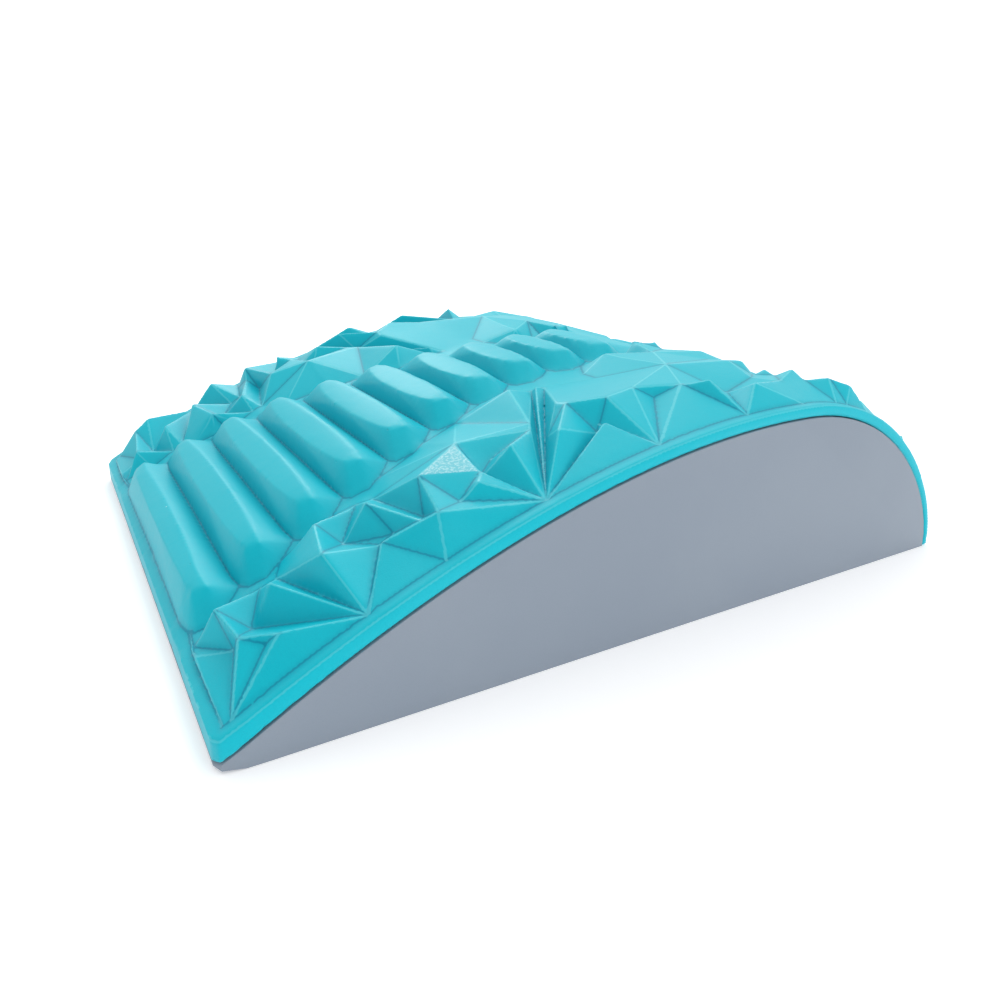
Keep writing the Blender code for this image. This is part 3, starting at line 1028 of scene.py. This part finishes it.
@dataclass
class Studio:
    """The pale floor, the soft light round it, the lamps and the camera."""

    floor_size: float = 8.0
    floor_colour: tuple[float, float, float] = (0.95, 0.95, 0.95)
    floor_mottling: float = 0.015
    floor_patch: float = 0.6
    floor_roughness: float = 0.9
    floor_specular: float = 0.1
    floor_glow: float = 0.25
    # The sky's light rises from dim to bright between two levels of how far it faces the bright side
    bright_side: tuple[float, float, float] = (0.62, 0.45, 0.64)
    bright_levels: tuple[float, float] = (-0.3, 0.45)
    bright: tuple[float, float, float] = (1.15, 1.15, 1.15)
    dim: tuple[float, float, float] = (0.50, 0.52, 0.55)
    # The camera, as fitted to the outlines in the photograph. The lens and the sensor are in millimetres
    lens: float = 26.335
    sensor: float = 36.0
    clip_start: float = 0.01
    turn: float = math.radians(32.823)
    pitch: float = math.radians(21.125)
    roll: float = math.radians(2.904)
    camera_place: tuple[float, float, float] = (-0.20347, -0.31401, 0.15043)

    def floor(self) -> None:
        """Lay the floor."""
        half = self.floor_size / 2
        data = bpy.data.meshes.new("floor")
        corners = [(-half, -half, 0), (half, -half, 0), (half, half, 0), (-half, half, 0)]
        data.from_pydata(corners, [], [(0, 1, 2, 3)])
        material = bpy.data.materials.new("pale_floor")
        material.use_nodes = True
        tree = Tree(material.node_tree)
        place = tree.value("ShaderNodeTexCoord", {}, {}, "Object")
        shader = material.node_tree.nodes["Principled BSDF"]
        darker = [channel * (1 - self.floor_mottling) for channel in self.floor_colour]
        shade = tree.mix(tree.noise(place, self.floor_patch), (*self.floor_colour, 1), (*darker, 1))
        tree.nodes.links.new(shade.socket, shader.inputs["Base Color"])
        shader.inputs["Roughness"].default_value = self.floor_roughness
        shader.inputs["Specular IOR Level"].default_value = self.floor_specular
        shader.inputs["Emission Color"].default_value = (1, 1, 1, 1)
        shader.inputs["Emission Strength"].default_value = self.floor_glow
        data.materials.append(material)
        floor = bpy.data.objects.new("floor", data)
        bpy.context.scene.collection.objects.link(floor)

    def sky(self) -> None:
        """Surround the scene with pale light that is dimmer on the near side, as in a photographer's tent."""
        world = bpy.data.worlds.new("studio")
        world.use_nodes = True
        tree = Tree(world.node_tree)
        towards = tree.value("ShaderNodeTexCoord", {}, {}, "Generated")
        facing = tree.vector("DOT_PRODUCT", towards, self.bright_side, output="Value")
        light = tree.mix(facing.ease(*self.bright_levels), (*self.dim, 1), (*self.bright, 1))
        tree.nodes.links.new(light.socket, tree.nodes.nodes["Background"].inputs["Color"])
        bpy.context.scene.world = world

    def lamps(self) -> dict[LampPlace, Lamp]:
        """The lamps.

        Returns:
            The lamp for each place.
        """
        return {
            LampPlace.WINDOW: Lamp(place=(0.22, 1.09, 0.66), size=0.45, power=2.5, colour=(1.0, 0.98, 0.95)),
            LampPlace.FILL: Lamp(place=(0.3, -1.6, 0.35), size=1.0, power=4.0, colour=(1.0, 1.0, 1.0)),
            LampPlace.TOP: Lamp(place=(0.45, 0.6, 1.1), size=0.8, power=3.6, colour=(1.0, 0.96, 0.9)),
        }

    def camera(self) -> None:
        """Set the camera at the photograph's angle."""
        level = Vector((math.cos(self.turn), -math.sin(self.turn), 0))
        forward = Vector((math.sin(self.turn), math.cos(self.turn), 0))
        ahead = math.cos(self.pitch) * forward - math.sin(self.pitch) * Vector((0, 0, 1))
        upright = level.cross(ahead)
        right = math.cos(self.roll) * level + math.sin(self.roll) * upright
        up = math.cos(self.roll) * upright - math.sin(self.roll) * level
        data = bpy.data.cameras.new("camera")
        data.sensor_width = self.sensor
        data.lens = self.lens
        data.clip_start = self.clip_start
        camera = bpy.data.objects.new("camera", data)
        rotation = Matrix((right, up, -ahead)).transposed().to_4x4()
        camera.matrix_world = Matrix.Translation(self.camera_place) @ rotation
        bpy.context.scene.collection.objects.link(camera)
        bpy.context.scene.camera = camera

    def build(self) -> None:
        """Set up the whole studio."""
        bpy.context.scene.view_settings.view_transform = "Standard"
        self.floor()
        self.sky()
        for kind, lamp in self.lamps().items():
            lamp.hang(kind)
        self.camera()


def foam_pieces() -> list[Core | Cover]:
    """The mat's two mouldings, with their sizes and finishes.

    Returns:
        The core and the cover.
    """
    low, high = CAD_BOX
    border = Border(side=high.y - SIDE_BORDER, thin_end=low.x + THIN_END_BORDER)
    bars = BarZone(
        thin_end=low.x, crest=low.x + NOSE_LINE_RUN,
        reach_at_thin_end=high.y - NOSES_IN_AT_THIN_END, reach_at_crest=high.y - NOSES_IN_AT_CREST,
    )
    grey = FoamFinish(
        name="grey_foam_skin",
        colour=(0.245, 0.29, 0.35), pale=(0.28, 0.325, 0.38), deep=(0.16, 0.18, 0.21),
        roughness=0.62, specular=0.3,
        grain_size=0.5 * MM, grain_height=0.05 * MM, ripple_size=9 * MM, ripple_height=0.10 * MM,
        patch_size=70 * MM, patch_strength=0.35,
        speck_spacing=14 * MM, speck_size=0.4 * MM, speck_share=0.0, ridge_highlight=0.0, crease_shading=0.0,
    )
    turquoise = FoamFinish(
        name="turquoise_foam_skin",
        colour=(0.0, 0.475, 0.58), pale=(0.09, 0.60, 0.68), deep=(0.0, 0.19, 0.31),
        roughness=0.42, specular=0.16,
        grain_size=0.45 * MM, grain_height=0.06 * MM, ripple_size=6 * MM, ripple_height=0.10 * MM,
        patch_size=45 * MM, patch_strength=0.10,
        speck_spacing=12 * MM, speck_size=0.45 * MM, speck_share=0.10, ridge_highlight=0.55, crease_shading=0.6,
    )
    return [
        Core("grey_core", "foam_core", Slot.GREY_FOAM, grey),
        Cover("moulded_cover", "relief_cover", Slot.TURQUOISE_FOAM, turquoise,
              divider=Divider(border, bars, rubbed=GLINT_PLACES), skin=MouldedSkin(bars)),
    ]


def main() -> None:
    """Build the studio, then each foam piece, and report them."""
    logging.basicConfig(level=logging.INFO, format="%(name)s: %(message)s")
    Studio().build()
    for piece in foam_pieces():
        piece.dress(piece.build())


if __name__ == "__main__":
    main()
